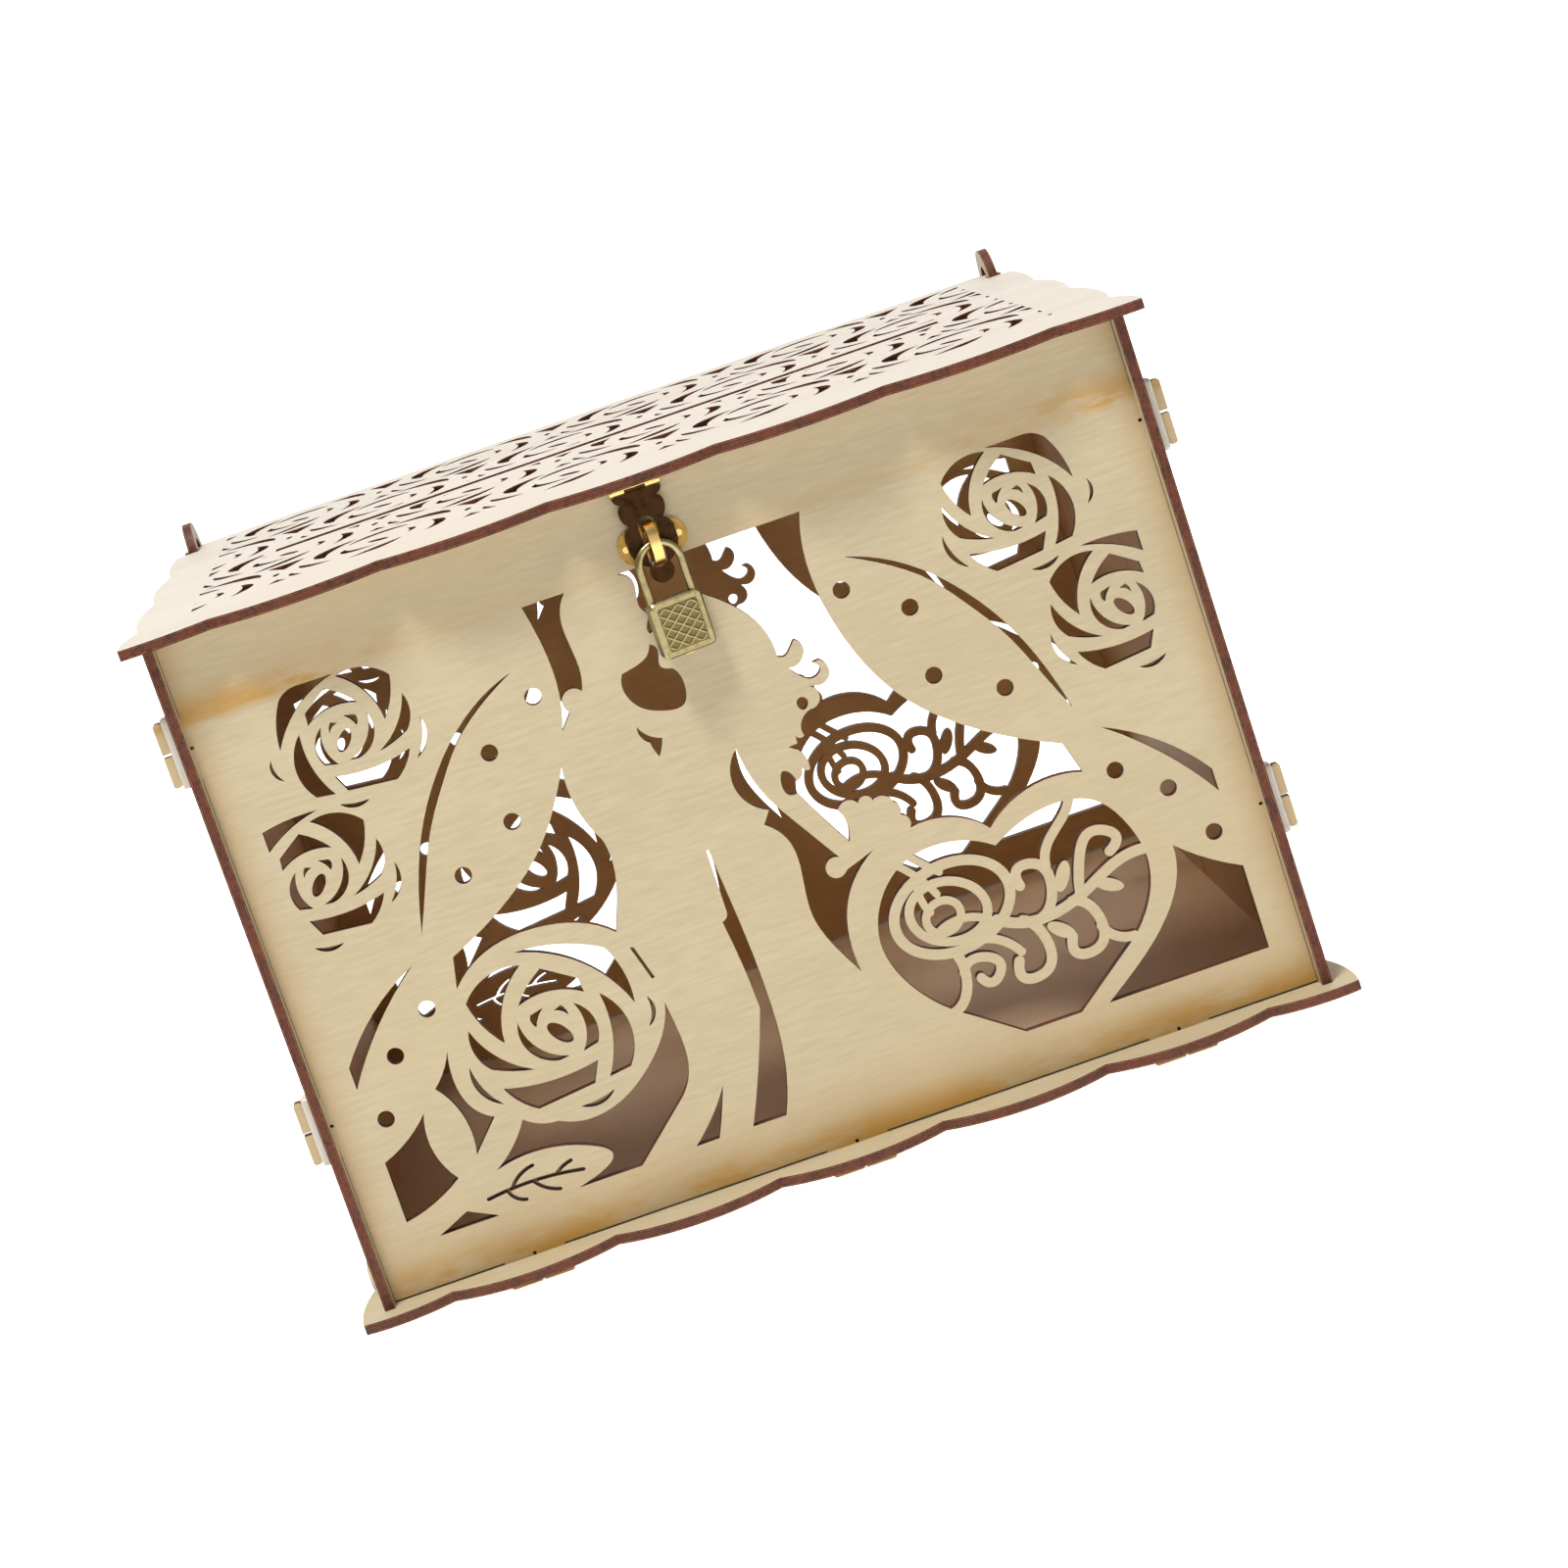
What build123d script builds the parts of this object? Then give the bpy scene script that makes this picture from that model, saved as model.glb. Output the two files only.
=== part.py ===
"""Wedding card box: a slotted plywood kit box held by rubber bands, with a pierced lid, a hasp and a small padlock.

Millimetres, +Z up, front towards -Y. The origin is under the middle of the box, on the table.
"""

from pathlib import Path

from build123d import *

# ---- driving dimensions -------------------------------------------------
PLY = 3.0  # plywood thickness
BASE_WIDTH = 300.0
BASE_DEPTH = 250.0
LID_WIDTH = 296.0
SCALLOP_PITCH = 49.2  # front scallops, base and lid
CUSP_DEPTH = 6.3  # how far a cusp cuts in from the bulge
INNER_WIDTH = 280.4  # between the side panels
SIDE_DEPTH = 232.0
PANEL_INSET = 4.5  # front and back panels behind the side panels' edges
WALL_TOP = 204.0  # side panels' top, above the underside of the base
TAB_PROUD = 5.0  # how far a split tab stands out of the panel it locks
TAB_WIDTH = 18.2  # across the neck
HEAD_WIDTH = 19.0  # across the two prongs
SLIT = 0.9  # saw-cut between the prongs
BAND_WIDTH = 2.4
BAND_THICK = 1.4
HINGE_Y = 98.5  # lid pivot, behind the middle
EAR_RADIUS = 10.5
EAR_HOLE = 4.9
TONGUE = 9.0  # lid tongue that turns in the ear
LID_GAP = 0.2  # lid underside above the side panels
SLOT_LENGTH = 217.0  # card slot
SLOT_WIDTH = 6.5
SLOT_Y = 2.3
KNUCKLE_RADIUS = 1.15
PIN_RADIUS = 0.45
SHEET = 0.6  # hasp metal
NAIL_RADIUS = 0.55
NAIL_FIT = 0.02
WIRE_RADIUS = 1.1  # shackle
SHACKLE_HALF = 6.2  # leg centre from the padlock's middle
CASE_WIDTH = 15.6
CASE_THICK = 5.5
CASE_HEIGHT = 16.2
PADLOCK_TURN = 12.0  # degrees the padlock hangs turned about the vertical
STAPLE_TURN = 8.0
STAPLE_WIDTH = 2.9

# ---- derived places -----------------------------------------------------
FOOT = TAB_PROUD  # the box stands on the tab heads under the base
BASE_TOP = FOOT + PLY
SIDE_IN = INNER_WIDTH / 2
SIDE_OUT = SIDE_IN + PLY
PANEL_HALF = SIDE_IN - 0.2
FRONT_FACE = -SIDE_DEPTH / 2 + PANEL_INSET
BACK_FACE = -FRONT_FACE
LID_BOTTOM = FOOT + WALL_TOP + LID_GAP
LID_TOP = LID_BOTTOM + PLY
LID_FRONT = -123.0
LID_REAR = HINGE_Y + 8.0
HINGE_Z = LID_BOTTOM + PLY / 2
SIDE_TAB_HEIGHTS = (58.5, 174.0)  # above the underside of the base
FRONT_TAB_PLACES = (-97.8, 0.0, 97.8)
SIDE_TAB_PLACES = (-60.0, 60.0)
TAB_CLEAR = 0.1
LEAF_NAILS = ((-4.6, -118.2), (4.6, -118.2))
PLATE_NAILS = (-7.75, 7.75)
STAPLE_HEIGHT = 186.7  # middle of staple and plate, above the underside of the base

Path("parts").mkdir(exist_ok=True)


def save(solid, name):
    """Labels a finished piece and writes its STEP file."""
    solid.label = name
    export_step(solid, f"parts/{name}.step")


def window(start, *runs):
    """A flat closed shape. Each run starts where the last one ended: one point is a straight cut, two an arc, more a smooth curve."""
    with BuildLine() as edge:
        here = start
        for run in runs:
            points = [here, *run] if isinstance(run, list) else [here, run]
            if len(points) == 2:
                Line(*points)
            elif len(points) == 3:
                ThreePointArc(*points)
            else:
                Spline(*points)
            here = points[-1]
        if here != start:
            Line(here, start)
    return make_face(edge.edges())


def stroke(width, *points):
    """A round-ended strip of plywood left along a smooth line, or a round-ended cut."""
    with BuildSketch() as strip:
        with BuildLine():
            if len(points) == 2:
                Line(*points)
            elif len(points) == 3:
                ThreePointArc(*points)
            else:
                Spline(*points)
        trace(line_width=width)
        with Locations(points[0], points[-1]):
            Circle(width / 2)
    return strip.sketch


# ---- the rose, drawn about its bud ---------------------------------------
ROSE_CORE = [
    window((-6.4, 7.6), (-2.4, 8.5), [(-4.6, 6.2), (-5.8, 3.8)], [(-6.8, 5.6), (-6.4, 7.6)]),
    window((0.3, 6.7), (2.6, 7.6), [(3.7, 5.9), (3.9, 4.1)], [(2.5, 5.8), (0.3, 6.7)]),
    window((6.2, 7.0), [(10.3, 1.6), (9.3, -6.2)], (4.6, -7.3), [(7.5, -0.4), (6.2, 7.0)]),
    window((-10.5, 6.8), [(-10.2, -2.2), (-2.6, -7.6)], (0.4, -7.2), [(-7.6, -1.8), (-10.5, 6.8)]),
    window((-8.7, 11.3), [(-4.9, 15.6), (0.6, 19.6)], (9.8, 13.4), (10.2, 9.0), [(1.0, 12.5), (-8.7, 11.3)]),
    window((-4.5, 22.4), [(-14.6, 22.4), (-22.5, 16.8)], [(-20.2, 9.2), (-15.8, 2.4)], [(-12.4, 14.0), (-4.5, 22.4)]),
    window((-24.4, 9.2), [(-24.8, 1.4), (-21.8, -3.8)], [(-16.2, -6.2), (-10.2, -7.7)], [(-19.0, -0.8), (-24.4, 9.2)]),
    window((-27.6, -0.9), [(-27.6, -8.4), (-21.8, -14.4)], [(-25.6, -8.8), (-27.6, -0.9)]),
]
ROSE_RIGHT = window((14.1, 7.2), [(19.4, -3.0), (15.8, -16.0)], (9.2, -16.9), [(14.0, -4.6), (14.1, 7.2)])
ROSE_FOOT = window((-20.6, -10.1), [(-6.6, -12.4), (7.5, -11.1)], (4.6, -17.3), (-12.9, -19.1), [(-17.4, -15.2), (-20.6, -10.1)])
ROSE_UNDER = window((-1.4, -22.4), [(4.2, -23.7), (9.2, -20.8)], [(4.2, -22.1), (-1.4, -22.4)])
ROSE_EAST = window((26.5, 1.8), [(27.7, -2.8), (24.4, -6.8)], [(26.4, -2.8), (26.5, 1.8)])
ROSE_CREST = window((-5.0, 26.4), [(8.6, 24.3), (19.6, 19.3)], [(22.8, 10.2), (22.8, 1.2)], [(11.8, 17.6), (-5.0, 26.4)])


def bud(scale=1.0):
    """The slanted oval at the heart of a rose."""
    with BuildSketch() as oval:
        Ellipse(4.3 * scale, 2.1 * scale, rotation=-52)
    return oval.sketch


def rose(x, z, scale, *petals):
    """The rose's cuts, sized about its bud and moved to (x, z)."""
    shapes = [petal.scale(scale) if scale != 1 else petal for petal in (*ROSE_CORE, *petals)]
    return [Pos(x, z) * shape for shape in (bud(scale), *shapes)]


def mirrored(shapes):
    """The same cuts on the left-hand side."""
    return [mirror(shape, Plane.YZ) for shape in shapes]


# ---- picture cut in the front and back panels ----------------------------
# x across, second number up from the underside of the base
FLOWER = 0.8
corner_flowers = rose(99.2, 162.0, FLOWER, ROSE_RIGHT, ROSE_FOOT, ROSE_UNDER, ROSE_EAST)
corner_flowers += [
    window((96, 180.9), (106, 181), [(109.8, 180.5), (112.9, 178.3)], [(115.9, 171.6), (117, 165)], [(108.2, 175.2), (96, 180.9)]),
]
corner_flowers += rose(119.7, 125.5, FLOWER, ROSE_FOOT, ROSE_UNDER)
corner_flowers += [
    window((113, 145.9), [(121.4, 146), (129.6, 144.8)], (129.6, 138.8), [(121.6, 143.4), (113, 145.9)]),
]
leaf_cuts = [
    window(
        (49.2, 164.8),
        [(60, 160.4), (70, 153.2), (80, 142.2), (88, 129.4), (92.8, 118), (97.2, 102.8)],
        [(90.2, 119), (84.8, 130.4), (77.6, 141.2), (69.6, 151.2), (60, 158.8), (49.2, 164.8)],
    ),
    window((103, 94.8), [(117.2, 86), (129.5, 72.8)], (129.5, 66), [(117.6, 81.6), (103, 94.8)]),
]
leaf_dots = [(45.6, 156.2), (62.3, 145.2), (62.7, 124.6), (80.7, 114.6), (103.1, 81.6), (116, 71.7), (124.6, 55.2)]

big_rose = rose(-69.8, 62.4, 1.0, ROSE_RIGHT, ROSE_FOOT, ROSE_UNDER, ROSE_EAST, ROSE_CREST)
left_art = [
    # between the left leaf, the rose and the groom's back
    window(
        (-44.6, 134.5),
        [(-44.8, 124.4), (-40.4, 111)],
        [(-39.9, 103.4), (-41.6, 95), (-45.4, 84.7)],
        [(-54, 90.6), (-66, 93.5), (-79, 92.7), (-93.2, 84.2)],
        (-91.2, 93.3),
        [(-80, 98.6), (-68, 106), (-56.4, 116.4), (-49.6, 125.8), (-44.6, 134.5)],
    ),
    # stem and lower left leaves
    window((-114, 53.2), [(-115.3, 42.6), (-111, 31.9)], [(-119.4, 27.3), (-129.2, 24.5)], (-129.2, 43.2), [(-121.4, 47), (-114, 53.2)]),
    window((-101.8, 68), [(-102.9, 60), (-100.8, 50.6), (-95.4, 45.5)], (-103.8, 36.6), [(-103.6, 48.4), (-108.6, 58.8)], [(-104.8, 62.8), (-101.8, 68)]),
    window((-121.6, 17.5), (-112, 21.8), (-103.6, 17.5)),
    # under the rose
    window(
        (-39, 60.8),
        [(-37.9, 50), (-38.6, 40.6), (-44, 32)],
        (-60.4, 17.5),
        (-79.4, 17.5),
        [(-72.4, 19.6), (-67.3, 23), (-70.6, 27.2)],
        [(-84.6, 31.6), (-100, 30.3)],
        [(-93.4, 35.4), (-88.2, 42)],
        [(-83.4, 39), (-78.6, 38.2)],
        [(-70, 35.7), (-60.6, 37.4), (-49.6, 44.4), (-42.4, 52.6), (-39, 60.8)],
    ),
    # slit beside the rose
    window((-43.3, 79.2), (-42.2, 78.9), (-39.3, 68.7), (-40.2, 68.5)),
]
leaf_veins = [
    stroke(1.1, (-105, 23), (-91, 23.9), (-76.6, 22.3)),
    stroke(1.1, (-97.6, 23.7), (-94.4, 26.8), (-90, 28.3)),
    stroke(1.1, (-99, 23.5), (-97.6, 20.9), (-94.8, 19.4)),
    stroke(1.1, (-91.2, 23.8), (-88.4, 20.8), (-84.7, 19.1)),
    stroke(1.1, (-84.4, 23.5), (-81.8, 25.2), (-79.2, 26)),
]
# groom: back of the head, collar, and the gap between the trouser legs
groom_cuts = [
    window(
        (-40.4, 181),
        (-27.9, 181),
        [(-31.4, 173), (-30.9, 163.6), (-32.2, 153.2)],
        [(-36.6, 154.4), (-37.2, 148.6)],
        (-41, 144.2),
        [(-38, 160), (-38.6, 170.4), (-40.4, 181)],
    ),
    window((-21, 138.4), [(-18.6, 135), (-15.2, 133.2)], [(-16.2, 130.6), (-17.6, 128.4)], [(-18.6, 131), (-18.9, 133)], [(-20.8, 135.2), (-21, 138.4)]),
    window(
        (-13.8, 98.4),
        (-14, 79.6),
        [(-14.8, 78), (-16.1, 77.3)],
        [(-14.6, 63), (-14, 50)],
        [(-19, 36), (-26.8, 17.6)],
        (-16.8, 17.6),
        [(-11.6, 36), (-10.6, 52), (-11.6, 78), (-13.2, 98.4)],
    ),
    window((-31.2, 32), [(-37.2, 24.2), (-44, 17.6)], (-37, 17.6), [(-34.2, 24), (-31.2, 32)]),
    # open space between the two chins and the shoulders
    window(
        (-10.2, 159.4),
        [(-12.4, 156.2), (-16.4, 154.7), (-20, 154)],
        [(-21.2, 149.6), (-18.4, 143.6), (-12.6, 140.4), (-6.4, 140.2), (-4.4, 145.4), (-6.2, 151)],
        [(-9.2, 154), (-8.4, 156.8), (-10.2, 159.4)],
    ),
]
# bride: gap between her arm and her dress
arm_gap = window(
    (3.4, 123.4),
    [(5, 113.4), (10.2, 101.8)],
    (21.2, 83.9),
    [(16.9, 79.7), (22, 79.8)],
    (31, 82.8),
    [(24.4, 77.8), (19.2, 70.4), (16.6, 61), (16.8, 50.4)],
    [(11.6, 60.4), (8.8, 69.4), (9.1, 79), (10, 88), (4, 100)],
    (6.6, 103.6),
    [(-0.7, 115.4), (3.4, 123.4)],
)
# the big window: leaf edge, top of the heart, bouquet, sleeve, hair and the couple's plain profiles
big_window = window(
    (-12.4, 181),
    (41.4, 181),
    [(38.7, 163), (40.4, 150), (45.2, 134.4), (54, 119.8), (65.4, 109), (79, 100), (91.4, 93.8)],
    (94.2, 84.3),
    [(82, 85.6), (70.4, 82), (64.4, 77.6)],
    [(56.6, 83.6), (42.8, 85.3)],
    [(43.4, 88), (41.4, 89.8)],
    [(42, 92.2), (40.6, 94)],
    [(38.6, 96.6), (35.2, 96.4)],
    [(33, 98.4), (31, 97)],
    [(28, 98.8), (25, 96.8)],
    [(26.4, 91.6), (25.3, 87.3)],
    [(19.4, 98), (15.6, 105.4)],
    [(12.4, 110.4), (13.8, 112.8), (16.2, 110.6), (16.4, 108.8)],
    [(18, 109.4), (19.2, 112)],
    [(20.4, 110.8), (21.4, 110.8)],
    [(21.2, 114.6), (19.8, 117.2)],
    (17.5, 118.8),
    (20.2, 119),
    (20.4, 121.4),
    [(21.6, 120.2), (22.8, 120.6)],
    [(22.8, 123.6), (24.6, 126), (26.6, 127)],
    [(30.4, 129.6), (28.4, 133.4)],
    (30.2, 133.0),
    [(35.2, 135.4), (33.4, 139.6)],
    (31.5, 139.4),
    [(32.8, 136.6), (30.4, 135.2), (27.2, 136.8), (24.6, 140.3)],
    [(28.6, 141), (30.4, 144.6), (28.6, 147.2)],
    [(27, 145.6), (25, 143.8), (22.7, 144.3)],
    [(21.6, 152.6), (16, 161.4), (9.5, 167.2)],
    [(2.6, 170), (-3, 168.6), (-5.4, 165.6)],
    [(-6.6, 163.8), (-8.9, 162.2)],
    [(-9, 164.8), (-8, 166.8), (-8.4, 168.6)],
    [(-9.4, 171.6), (-8.8, 175), (-12.4, 181)],
)
hair_loop = window((24.4, 131), [(26.4, 130.6), (26.4, 128.4)], [(24.6, 127.6), (23.6, 129.4), (24.4, 131)])
right_art = [
    arm_gap,
    big_window,
    hair_loop,
    # below the heart
    window((112.2, 55.4), [(120.6, 48.4), (129.6, 43)], (129.6, 17.6), (81.2, 17.6), [(92.6, 25.6), (103.4, 35.2), (110.2, 45.4), (112.2, 55.4)]),
    # inside the heart
    window(
        (64.2, 72.3),
        [(57.6, 76.2), (49, 78.1), (38, 76.4), (28.4, 68), (24.4, 55.4), (27, 45), (42.2, 27.8)],
        (56, 17.6),
        (72.8, 17.6),
        (90.8, 31.2),
        [(99.8, 40.6), (104.2, 53), (101.6, 66), (95, 75.2), (82, 78.2), (70.4, 75.4), (64.2, 72.3)],
    ),
]

# scrollwork left inside the heart: a ring rosette, and a vine with curls
with BuildSketch() as scrolls:
    for place, radii, width, turn in (
        ((47, 59.4), (19, 14.2), 3.1, 8),
        ((45.6, 58.6), (12.6, 10.2), 2.7, -18),
        ((43.8, 57.6), (6.4, 5.8), 2.4, 20),
    ):
        with BuildSketch(mode=Mode.PRIVATE) as ring:
            with Locations(place):
                Ellipse(*radii, rotation=turn)
                Ellipse(radii[0] - width, radii[1] - width, rotation=turn, mode=Mode.SUBTRACT)
        add(ring.sketch)
    for bar in (
        stroke(2.2, (33.6, 78), (39.5, 72), (44, 64.5)),
        stroke(2.2, (38.4, 79), (43, 74), (46.6, 70.4)),
        stroke(2.2, (39.5, 70), (39.2, 65), (40.6, 60)),
        stroke(2.4, (41, 53.6), (48, 55.4), (56, 52.4)),
        stroke(2.4, (46, 47), (54, 49.4), (62, 53.4)),
        # vine
        stroke(3.2, (58, 51.6), (70, 47.6), (83, 50.4), (94, 55.8), (106, 57)),
        stroke(3.0, (70.5, 48), (75.6, 55), (74, 63), (68.6, 64), (67.2, 58.8)),
        stroke(3.0, (83, 50.4), (85.4, 60), (91.6, 67), (97.4, 63.8), (94.6, 59.8)),
        stroke(2.8, (76, 62), (79, 68.6), (84.4, 73.4), (88.6, 80)),
        stroke(3.0, (65, 49), (69.6, 41.6), (67.6, 33), (60.8, 32.4), (60.4, 38)),
        stroke(3.0, (80, 49.6), (86, 42.6), (84, 34.6), (77.4, 34.2), (77, 39.6)),
        stroke(2.8, (85.8, 40), (90, 35), (94, 34)),
        stroke(3.0, (44, 46), (44.6, 38.6), (40.6, 31), (34.6, 30)),
        stroke(2.8, (44.4, 40), (50.4, 42.8), (55, 39), (52, 34.8), (48.6, 37)),
        stroke(2.6, (52.8, 47.6), (58, 45), (61.8, 40.4)),
    ):
        add(bar)
    for place, size, turn in (((79.6, 57.4), (4.6, 2.0), 62), ((74.6, 42.6), (4.4, 2.0), -40), ((91.6, 50.6), (4.2, 1.9), -28)):
        with Locations(place):
            Ellipse(*size, rotation=turn)

# ---- split tabs and the slots and bands that hold them --------------------
HEAD = TAB_PROUD - BAND_WIDTH - 0.1  # length of the prongs past the band
SLIT_ROOT = 1.0  # the saw-cut runs on into the panel


def split_tab(place, turn):
    """A split tab standing out of a panel's edge at place: a neck through PLY, then two prongs."""
    reach = PLY + TAB_PROUD
    with BuildSketch() as tab:
        with Locations((0, (reach - 1.0) / 2)):
            Rectangle(TAB_WIDTH, reach - 1.0)
        with Locations((0, reach - HEAD / 2)):
            RectangleRounded(HEAD_WIDTH, HEAD, 0.9)
    return Pos(*place) * Rot(0, 0, turn) * tab.sketch


def tab_slit(place, turn):
    """The saw-cut that lets the prongs spring together."""
    with BuildSketch() as cut:
        with Locations((0, (PLY + TAB_PROUD - SLIT_ROOT) / 2)):
            Rectangle(SLIT, PLY + TAB_PROUD + SLIT_ROOT + 0.01)
    return Pos(*place) * Rot(0, 0, turn) * cut.sketch


def band(name, centre, outward, along):
    """A rubber band stretched round a tab's neck, flat against the panel."""
    with BuildPart() as loop:
        with BuildSketch(Plane(origin=centre, x_dir=along, z_dir=outward)):
            RectangleRounded(TAB_WIDTH + 2 * BAND_THICK, PLY + 2 * BAND_THICK, 1.6)
            Rectangle(TAB_WIDTH + 0.04, PLY + 0.04, mode=Mode.SUBTRACT)
        extrude(amount=BAND_WIDTH)
    save(loop.part, name)


front_tabs = [((x, PLY), 180) for x in FRONT_TAB_PLACES]
for z in SIDE_TAB_HEIGHTS:
    front_tabs += [((SIDE_IN, z), -90), ((-SIDE_IN, z), 90)]

# ---- front and back panels -----------------------------------------------
panel_bottom = PLY + 0.6
panel_top = WALL_TOP - 0.2
with BuildSketch() as panel_face:
    with Locations((0, (panel_bottom + panel_top) / 2)):
        Rectangle(2 * PANEL_HALF, panel_top - panel_bottom)
    for shape in (*corner_flowers, *leaf_cuts):
        add([shape, mirror(shape, Plane.YZ)], mode=Mode.SUBTRACT)
    for shape in (*big_rose, *left_art, *groom_cuts, *right_art, *leaf_veins):
        add(shape, mode=Mode.SUBTRACT)
    with Locations(*leaf_dots, *[(-x, z) for x, z in leaf_dots]):
        Circle(2.45, mode=Mode.SUBTRACT)
    add(scrolls.sketch)
    for x in FRONT_TAB_PLACES:
        add(split_tab((x, PLY), 180))
    for z in SIDE_TAB_HEIGHTS:
        add(split_tab((SIDE_IN, z), -90))
        add(split_tab((-SIDE_IN, z), 90))
    for x in FRONT_TAB_PLACES:  # shoulders close the small gaps above the base and beside the walls
        with Locations((x, panel_bottom)):
            Rectangle(TAB_WIDTH, 1.2)
    for z in SIDE_TAB_HEIGHTS:
        with Locations((PANEL_HALF, z), (-PANEL_HALF, z)):
            Rectangle(0.8, TAB_WIDTH)
    for place, turn in front_tabs:
        add(tab_slit(place, turn), mode=Mode.SUBTRACT)

for name, y in (("front_panel", FRONT_FACE), ("back_panel", BACK_FACE - PLY)):
    with BuildPart() as panel:
        with BuildSketch(Plane(origin=(0, y, FOOT), x_dir=(1, 0, 0), z_dir=(0, -1, 0))):
            add(panel_face.sketch)
        extrude(amount=-PLY)
        if name == "front_panel":
            with Locations(*[(x, FRONT_FACE + 1.0, FOOT + STAPLE_HEIGHT) for x in PLATE_NAILS]):
                Cylinder(NAIL_RADIUS + NAIL_FIT, 2.2, rotation=(90, 0, 0), mode=Mode.SUBTRACT)
    save(panel.part, name)

# ---- side panels: ears at the back carry the lid --------------------------
with BuildSketch() as side_face:
    with Locations((0, (PLY + WALL_TOP) / 2)):
        Rectangle(SIDE_DEPTH, WALL_TOP - PLY)
    for y in SIDE_TAB_PLACES:
        add(split_tab((y, PLY), 180))
    with Locations((HINGE_Y, HINGE_Z - FOOT)):
        Circle(EAR_RADIUS)
    with Locations((HINGE_Y, HINGE_Z - FOOT)):
        Circle(EAR_HOLE, mode=Mode.SUBTRACT)
    for y in SIDE_TAB_PLACES:
        add(tab_slit((y, PLY), 180), mode=Mode.SUBTRACT)
    for y in (FRONT_FACE + PLY / 2, BACK_FACE - PLY / 2):
        for z in SIDE_TAB_HEIGHTS:
            with Locations((y, z)):
                Rectangle(PLY + TAB_CLEAR, TAB_WIDTH + 2 * TAB_CLEAR, mode=Mode.SUBTRACT)

for name, x in (("left_side_panel", -SIDE_OUT), ("right_side_panel", SIDE_IN)):
    with BuildPart() as panel:
        with BuildSketch(Plane(origin=(x, 0, FOOT), x_dir=(0, 1, 0), z_dir=(1, 0, 0))):
            add(side_face.sketch)
        extrude(amount=PLY)
    save(panel.part, name)

# ---- scalloped outlines ----------------------------------------------------


def scallops(start, count, step, bulge):
    """Arcs of a scalloped edge, one cusp to the next, each bulging by the given offset."""
    x, y = start
    for _ in range(count):
        ThreePointArc((x, y), (x + step[0] / 2 + bulge[0], y + step[1] / 2 + bulge[1]), (x + step[0], y + step[1]))
        x, y = x + step[0], y + step[1]
    return x, y


def half_scallop(cusp, corner, bulge):
    """The part of a scallop between the last cusp and a corner."""
    middle = ((cusp[0] + corner[0]) / 2 + bulge[0], (cusp[1] + corner[1]) / 2 + bulge[1])
    ThreePointArc(cusp, middle, corner)


# ---- base -------------------------------------------------------------------
half_w, half_d = BASE_WIDTH / 2, BASE_DEPTH / 2
SIDE_PITCH = 62.0
SIDE_CUSP = 3.6
cusp_x, cusp_y = 2.5 * SCALLOP_PITCH, 1.5 * SIDE_PITCH
corner = (half_w - 0.4, half_d - 3.4)
with BuildPart() as base:
    with BuildSketch(Plane.XY.offset(FOOT)):
        with BuildLine():
            for turn in (1, -1):
                end = scallops((-turn * cusp_x, -turn * (half_d - CUSP_DEPTH)), 5, (turn * SCALLOP_PITCH, 0), (0, -turn * CUSP_DEPTH))
                half_scallop(end, (turn * corner[0], -turn * corner[1]), (turn * 0.6, -turn * 2.2))
                half_scallop((turn * corner[0], -turn * corner[1]), (turn * (half_w - SIDE_CUSP), -turn * cusp_y), (turn * 1.6, turn * 0.4))
                end = scallops((turn * (half_w - SIDE_CUSP), -turn * cusp_y), 3, (0, turn * SIDE_PITCH), (turn * SIDE_CUSP, 0))
                half_scallop(end, (turn * corner[0], turn * corner[1]), (turn * 1.6, -turn * 0.4))
                half_scallop((turn * corner[0], turn * corner[1]), (turn * cusp_x, turn * (half_d - CUSP_DEPTH)), (turn * 0.6, turn * 2.2))
        make_face()
        for y in (FRONT_FACE + PLY / 2, BACK_FACE - PLY / 2):
            with Locations(*[(x, y) for x in FRONT_TAB_PLACES]):
                Rectangle(TAB_WIDTH + 2 * TAB_CLEAR, PLY + TAB_CLEAR, mode=Mode.SUBTRACT)
        for x in (SIDE_IN + PLY / 2, -SIDE_IN - PLY / 2):
            with Locations(*[(x, y) for y in SIDE_TAB_PLACES]):
                Rectangle(PLY + TAB_CLEAR, TAB_WIDTH + 2 * TAB_CLEAR, mode=Mode.SUBTRACT)
    extrude(amount=PLY)
save(base.part, "base_panel")

# ---- bands ------------------------------------------------------------------
for side, sign in (("left", -1), ("right", 1)):
    for end, y in (("front", FRONT_FACE + PLY / 2), ("back", BACK_FACE - PLY / 2)):
        for level, z in zip(("low", "high"), SIDE_TAB_HEIGHTS):
            band(f"band_{side}_{end}_{level}", (sign * SIDE_OUT, y, FOOT + z), (sign, 0, 0), (0, 0, 1))
    for end, y in zip(("front", "back"), SIDE_TAB_PLACES):
        band(f"band_base_{side}_{end}", (sign * (SIDE_IN + PLY / 2), y, FOOT), (0, 0, -1), (0, 1, 0))
for end, y in (("front", FRONT_FACE + PLY / 2), ("back", BACK_FACE - PLY / 2)):
    for place, x in zip(("left", "middle", "right"), FRONT_TAB_PLACES):
        band(f"band_base_{end}_{place}", (x, y, FOOT), (0, 0, -1), (1, 0, 0))

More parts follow.
